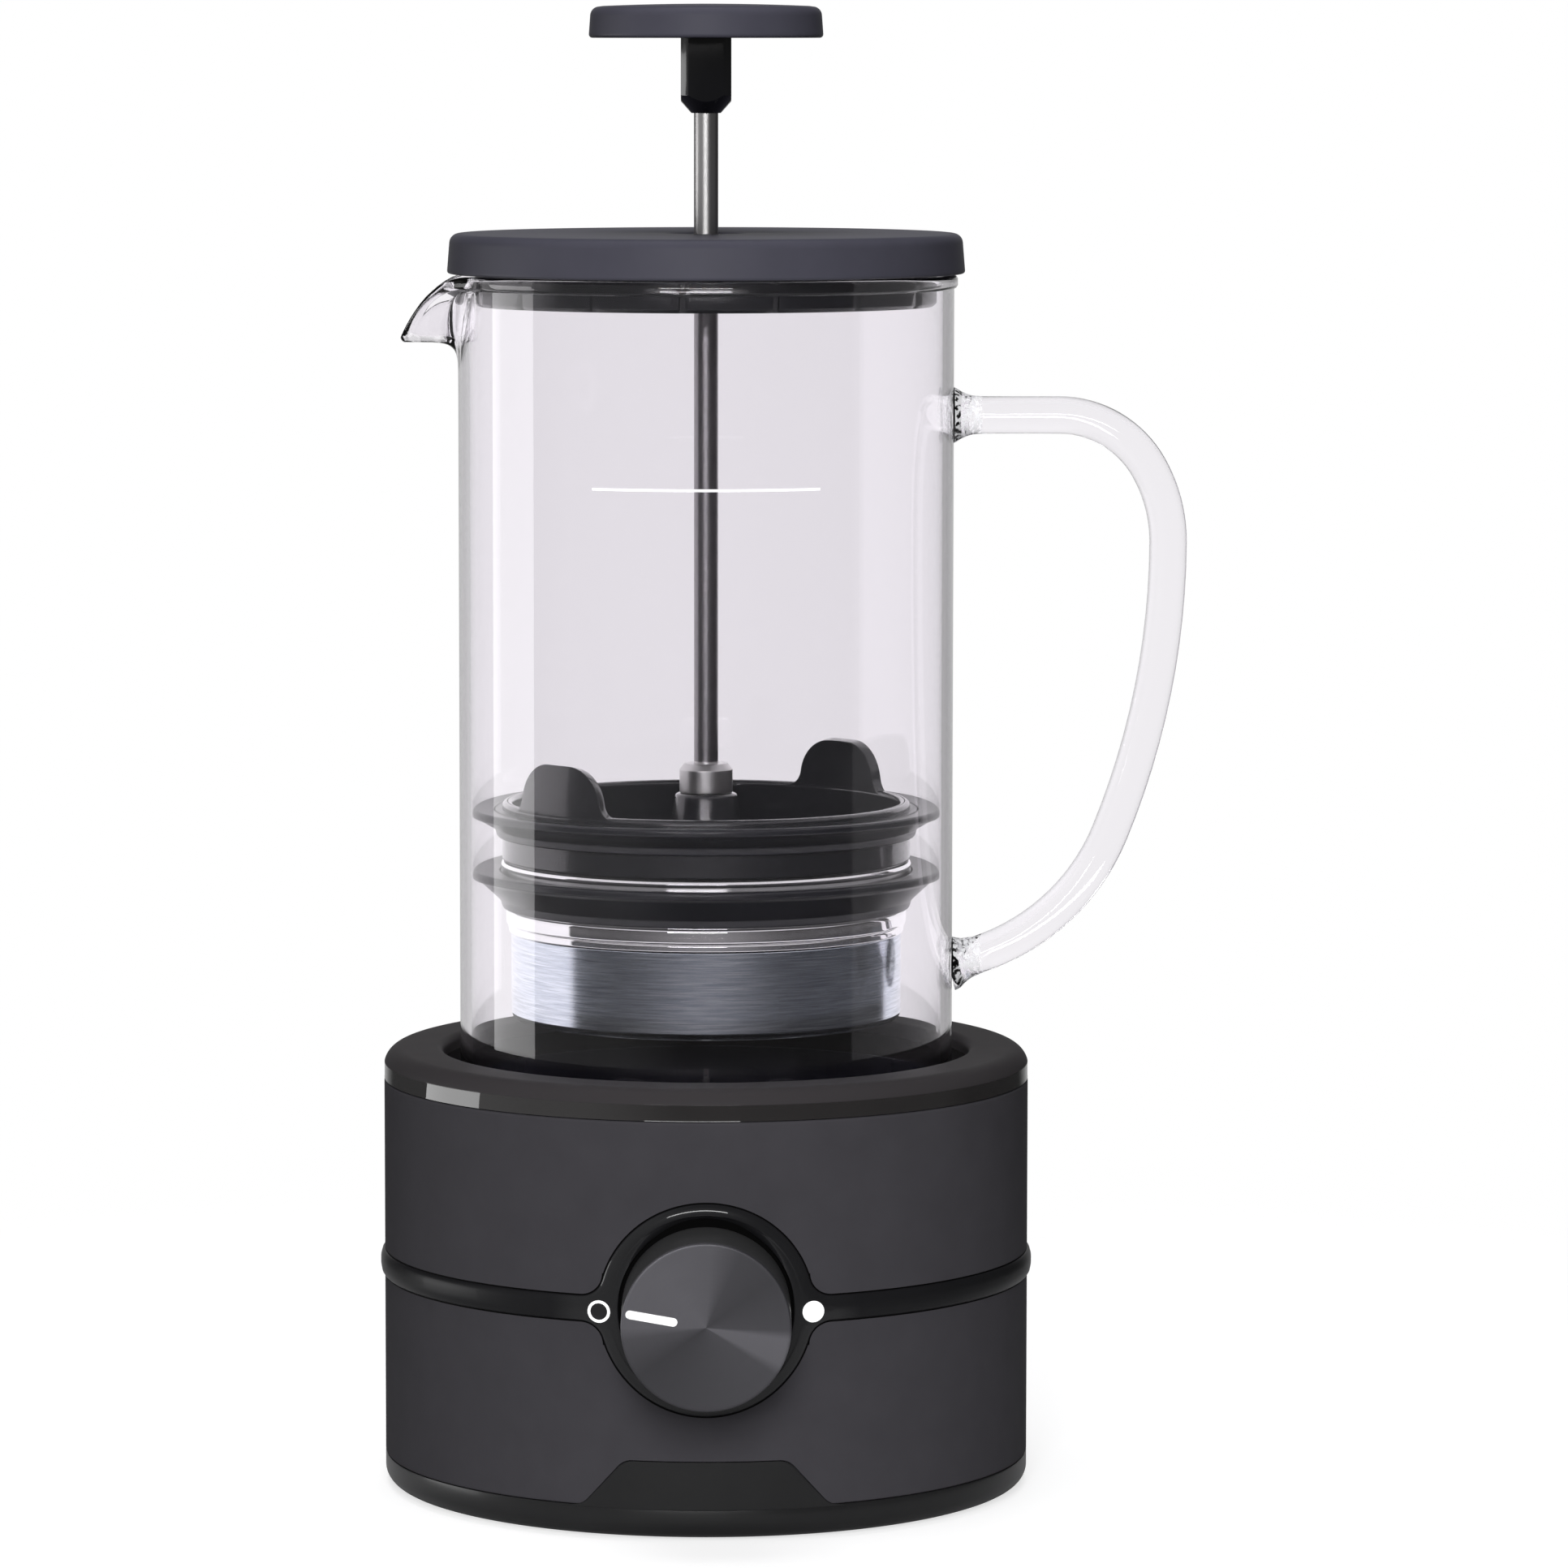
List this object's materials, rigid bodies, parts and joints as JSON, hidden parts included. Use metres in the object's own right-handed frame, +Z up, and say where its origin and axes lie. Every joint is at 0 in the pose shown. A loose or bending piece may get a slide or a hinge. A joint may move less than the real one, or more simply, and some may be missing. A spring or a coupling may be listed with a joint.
{
  "type": "cold brew coffee maker",
  "caption": "Tabletop cold brew coffee maker: glass carafe with a lift-out plunger and steel coffee basket in a round base with a stirring motor and a front dial.",
  "frame": {"origin": "on the base's axis, at the floor that the non-slip ring stands on", "axes": "+Z up along the base, carafe and plunger; the dial faces -Y; the carafe pours towards -X and its handle is at +X"},
  "size_m": [0.1773, 0.1649, 0.3255],
  "materials": {
    "gloss_ring": "satin black, softly glossy",
    "well_black": "dark gloss",
    "silicone": "matt",
    "housing": "fine matt, dark grey",
    "trim": "high gloss black",
    "foot_black": "satin black",
    "under_black": "fine spark texture",
    "zinc": "plated steel",
    "switch_white": "natural nylon",
    "board_green": "solder mask",
    "dial_black": "satin",
    "dial_metal": "dark anodised, turned",
    "pointer_white": "white inlay",
    "stirrer_white": "food-safe white",
    "magnet": "nickel plated",
    "glass": "clear borosilicate",
    "lid_charcoal": "fine matt charcoal",
    "plug_black": "satin black",
    "hub_black": "high gloss black",
    "rod_steel": "fine brushed",
    "strainer_black": "satin black nylon",
    "mesh_steel": "woven mesh",
    "seal_black": "soft silicone",
    "basket_steel": "brushed, polished shoulder"
  },
  "bodies": {
    "base": {"top_ring": "gloss_ring", "well_cup": "well_black", "well_pad": "silicone", "upper_shell": "housing", "lower_shell": "housing", "trim_band": "trim", "foot_ring": "foot_black", "base_plate": "under_black", "non_slip_ring": "silicone", "base_screws": "zinc", "motor_bracket": "zinc", "motor": "zinc", "motor_screws": "zinc", "rotary_switch": "switch_white", "circuit_board": "board_green", "cord_gland": "under_black"},
    "dial": {"dial_knob": "dial_black", "dial_face": "dial_metal", "dial_pointer": "pointer_white", "dial_shaft": "zinc"},
    "rotor": {"motor_shaft": "zinc", "rotor_disc": "stirrer_white", "drive_magnets": "magnet"},
    "carafe": {"carafe_glass": "glass", "carafe_lip": "glass", "carafe_handle": "glass"},
    "stirrer": {"stirrer": "stirrer_white", "stirrer_magnets": "magnet"},
    "lid": {"lid_cap": "lid_charcoal", "lid_plug": "plug_black", "rod_bush": "plug_black"},
    "plunger": {"plunger_knob": "lid_charcoal", "knob_hub": "hub_black", "plunger_rod": "rod_steel", "rod_collar": "rod_steel", "strainer_cap": "strainer_black", "cap_mesh": "mesh_steel", "upper_seal": "seal_black"},
    "basket": {"steel_basket": "basket_steel", "basket_mesh": "mesh_steel", "lower_seal": "seal_black"}
  },
  "joints": [
    {"name": "dial_turn", "type": "hinge", "parent": "base", "child": "dial", "pos_m": [0, -0.08, 0.05], "axis": [0, 1, 0], "range_deg": [0, 160]},
    {"name": "rotor_spin", "type": "hinge", "parent": "base", "child": "rotor", "pos_m": [0, 0, 0.05], "axis": [0, 0, 1], "continuous": true},
    {"name": "carafe_lift", "type": "slide", "parent": "base", "child": "carafe", "axis": [0, 0, 1], "range_m": [0, 0.045]},
    {"name": "stirrer_spin", "type": "hinge", "parent": "carafe", "child": "stirrer", "pos_m": [0, 0, 0.07], "axis": [0, 0, 1], "continuous": true},
    {"name": "lid_lift", "type": "slide", "parent": "carafe", "child": "lid", "axis": [0, 0, 1], "range_m": [0, 0.18]},
    {"name": "plunger_slide", "type": "slide", "parent": "lid", "child": "plunger", "axis": [0, 0, 1], "range_m": [-0.0258, 0.097]},
    {"name": "basket_release", "type": "slide", "parent": "plunger", "child": "basket", "axis": [0, 0, -1], "range_m": [0, 0.024]}
  ],
  "couplings": [
    {"joint": "stirrer_spin", "follows": "rotor_spin", "ratio": 1}
  ]
}
